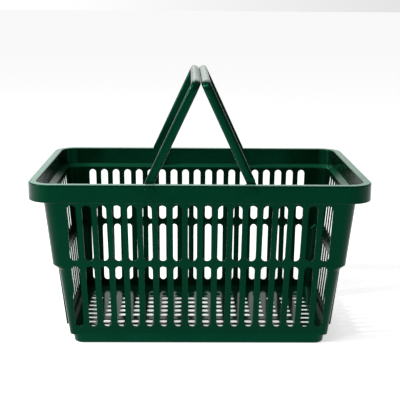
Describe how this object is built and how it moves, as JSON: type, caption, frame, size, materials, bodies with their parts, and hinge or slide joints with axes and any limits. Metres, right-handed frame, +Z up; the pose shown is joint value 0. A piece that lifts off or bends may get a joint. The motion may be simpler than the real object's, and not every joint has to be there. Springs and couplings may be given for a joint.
{
  "type": "shopping basket",
  "caption": "Hand-carried plastic shopping basket: slotted tapering tub with a broad rim and two swinging U-shaped handles that meet over the middle.",
  "frame": {"origin": "on the surface the basket stands on, under the middle of its outline", "axes": "+X along the basket, +Y across it towards the back wall, +Z up"},
  "size_m": [0.453, 0.3108, 0.3684],
  "materials": {
    "tub_plastic": "glossy, finely mottled on the lip",
    "handle_plastic": "glossy",
    "pin_plastic": "glossy"
  },
  "bodies": {
    "tub": {"tub_rim": "tub_plastic", "tub_front_wall": "tub_plastic", "tub_back_wall": "tub_plastic", "tub_base": "tub_plastic", "tub_left_end_low": "tub_plastic", "tub_left_end_high": "tub_plastic", "tub_right_end_low": "tub_plastic", "tub_right_end_high": "tub_plastic", "front_left_pin": "pin_plastic", "front_right_pin": "pin_plastic", "back_left_pin": "pin_plastic", "back_right_pin": "pin_plastic", "front_left_cap": "pin_plastic", "front_right_cap": "pin_plastic", "back_left_cap": "pin_plastic", "back_right_cap": "pin_plastic"},
    "left_handle": {"left_handle": "handle_plastic"},
    "right_handle": {"right_handle": "handle_plastic"}
  },
  "joints": [
    {"name": "left_handle_swing", "type": "hinge", "parent": "tub", "child": "left_handle", "pos_m": [-0.0657, 0, 0.2233], "axis": [0, -1, 0], "range_deg": [0, 105]},
    {"name": "right_handle_swing", "type": "hinge", "parent": "tub", "child": "right_handle", "pos_m": [0.0657, 0, 0.2233], "axis": [0, 1, 0], "range_deg": [0, 105]}
  ]
}
